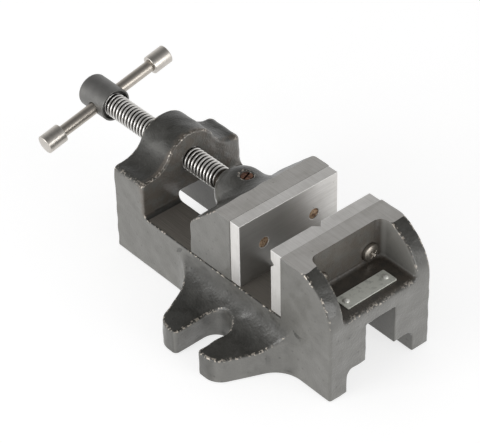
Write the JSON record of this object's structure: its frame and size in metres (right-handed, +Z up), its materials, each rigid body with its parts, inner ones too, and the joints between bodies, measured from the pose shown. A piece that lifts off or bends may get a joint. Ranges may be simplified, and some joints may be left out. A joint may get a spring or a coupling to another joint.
{
  "type": "drill press vise",
  "caption": "Low cast drill-press bench vise with slotted lugs, a fixed jaw, a sliding jaw on two rails, a lead screw and a sliding tommy bar handle.",
  "frame": {"origin": "on the bench, midway between the two hold-down slots", "axes": "+X along the lead screw from the handle to the fixed jaw, +Y to the left as seen from the handle, +Z up"},
  "size_m": [0.2753, 0.164, 0.0852],
  "materials": {
    "casting_paint": "semi-gloss dark grey enamel over rough cast iron",
    "ground_steel": "ground, with fine cross lines",
    "thread_steel": "cut thread with oil-dark roots",
    "turned_steel": "fine turned",
    "satin_steel": "blasted satin grey",
    "dark_steel": "oiled mill finish",
    "bronze_screw": "aged copper-coloured plating",
    "plate_aluminium": "blank rolled sheet",
    "rivet_aluminium": "polished dome"
  },
  "bodies": {
    "vise_base": {"base": "casting_paint", "fixed_jaw_plate": "ground_steel", "fixed_plate_screw_left": "casting_paint", "fixed_plate_screw_right": "casting_paint", "name_plate": "plate_aluminium", "name_rivet_left": "rivet_aluminium", "name_rivet_right": "rivet_aluminium"},
    "slider": {"moving_jaw": "casting_paint", "moving_jaw_plate": "ground_steel", "moving_plate_screw_left": "bronze_screw", "moving_plate_screw_right": "bronze_screw", "keeper_plate": "dark_steel", "keeper_screw_front": "dark_steel", "keeper_screw_rear": "dark_steel", "keeper_washer_front": "dark_steel", "keeper_washer_rear": "dark_steel", "screw_retainer": "bronze_screw"},
    "screw": {"lead_screw": "thread_steel", "handle_head": "satin_steel", "head_pin": "satin_steel"},
    "handle_bar": {"tommy_bar": "turned_steel", "knob_left": "turned_steel", "knob_right": "turned_steel"}
  },
  "joints": [
    {"name": "jaw_slide", "type": "slide", "parent": "vise_base", "child": "slider", "axis": [1, 0, 0], "range_m": [-0.032, 0.0279]},
    {"name": "screw_turn", "type": "hinge", "parent": "slider", "child": "screw", "pos_m": [-0.17595, 0, 0.0647], "axis": [1, 0, 0], "range_deg": [-3839, 3347]},
    {"name": "bar_slide", "type": "slide", "parent": "screw", "child": "handle_bar", "axis": [0, 0.9744, 0.225], "range_m": [-0.0268, 0.0268]}
  ],
  "couplings": [
    {"joint": "jaw_slide", "follows": "screw_turn", "m_per_rad": 0.00047746}
  ]
}
